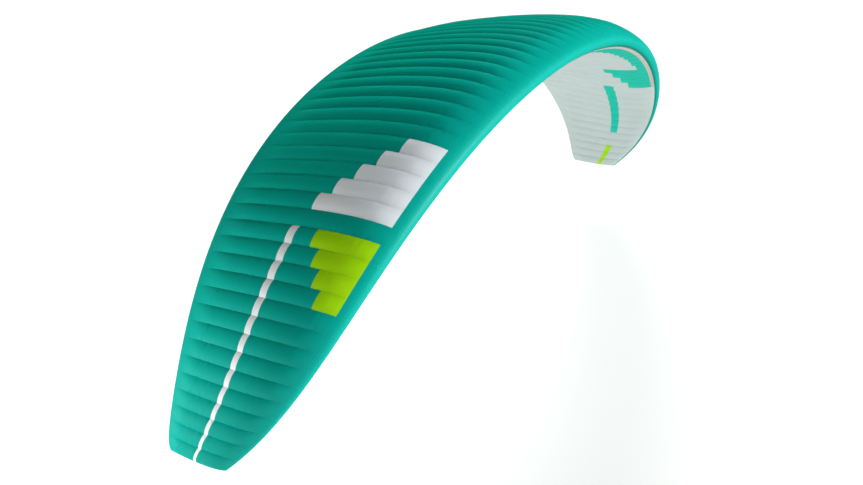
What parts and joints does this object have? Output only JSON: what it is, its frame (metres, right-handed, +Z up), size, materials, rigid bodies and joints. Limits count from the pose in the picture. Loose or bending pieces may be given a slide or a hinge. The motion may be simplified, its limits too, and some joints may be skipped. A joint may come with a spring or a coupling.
{
  "type": "paraglider wing",
  "caption": "Arched ram-air paraglider canopy: upper and lower skins on chordwise ribs, ballooned cells, air intakes under a rounded nose, and tapered closed tips.",
  "frame": {"origin": "underside of the middle rib at 30% of its chord, where the suspension lines would hold the wing", "axes": "+X along the span to the pilot's left, +Y from the nose to the trailing edge, +Z up"},
  "size_m": [9.3324, 2.4181, 3.1715],
  "materials": {
    "nose_cloth": "coated ripstop, soft sheen",
    "upper_cloth": "coated ripstop, soft sheen",
    "lower_cloth": "coated ripstop, soft sheen",
    "rib_cloth": "stiff coated ripstop"
  },
  "bodies": {
    "root": {"nose_panel_left_1": "nose_cloth", "upper_panel_left_1": "upper_cloth", "lower_panel_left_1": "lower_cloth", "nose_panel_left_2": "nose_cloth", "upper_panel_left_2": "upper_cloth", "lower_panel_left_2": "lower_cloth", "nose_panel_left_3": "nose_cloth", "upper_panel_left_3": "upper_cloth", "lower_panel_left_3": "lower_cloth", "nose_panel_left_4": "nose_cloth", "upper_panel_left_4": "upper_cloth", "lower_panel_left_4": "lower_cloth", "nose_panel_right_1": "nose_cloth", "upper_panel_right_1": "upper_cloth", "lower_panel_right_1": "lower_cloth", "nose_panel_right_2": "nose_cloth", "upper_panel_right_2": "upper_cloth", "lower_panel_right_2": "lower_cloth", "nose_panel_right_3": "nose_cloth", "upper_panel_right_3": "upper_cloth", "lower_panel_right_3": "lower_cloth", "nose_panel_right_4": "nose_cloth", "upper_panel_right_4": "upper_cloth", "lower_panel_right_4": "lower_cloth", "rib_middle": "rib_cloth", "rib_left_02": "rib_cloth", "rib_left_04": "rib_cloth", "rib_left_06": "rib_cloth", "rib_left_08": "rib_cloth", "rib_left_10": "rib_cloth", "rib_left_12": "rib_cloth", "rib_left_14": "rib_cloth", "rib_left_16": "rib_cloth", "rib_left_18": "rib_cloth", "rib_left_20": "rib_cloth", "rib_left_22": "rib_cloth", "rib_left_24": "rib_cloth", "rib_left_26": "rib_cloth", "rib_left_28": "rib_cloth", "rib_left_30": "rib_cloth", "rib_left_32": "rib_cloth", "tip_panel_left": "upper_cloth", "rib_right_02": "rib_cloth", "rib_right_04": "rib_cloth", "rib_right_06": "rib_cloth", "rib_right_08": "rib_cloth", "rib_right_10": "rib_cloth", "rib_right_12": "rib_cloth", "rib_right_14": "rib_cloth", "rib_right_16": "rib_cloth", "rib_right_18": "rib_cloth", "rib_right_20": "rib_cloth", "rib_right_22": "rib_cloth", "rib_right_24": "rib_cloth", "rib_right_26": "rib_cloth", "rib_right_28": "rib_cloth", "rib_right_30": "rib_cloth", "rib_right_32": "rib_cloth", "tip_panel_right": "upper_cloth"}
  },
  "joints": []
}
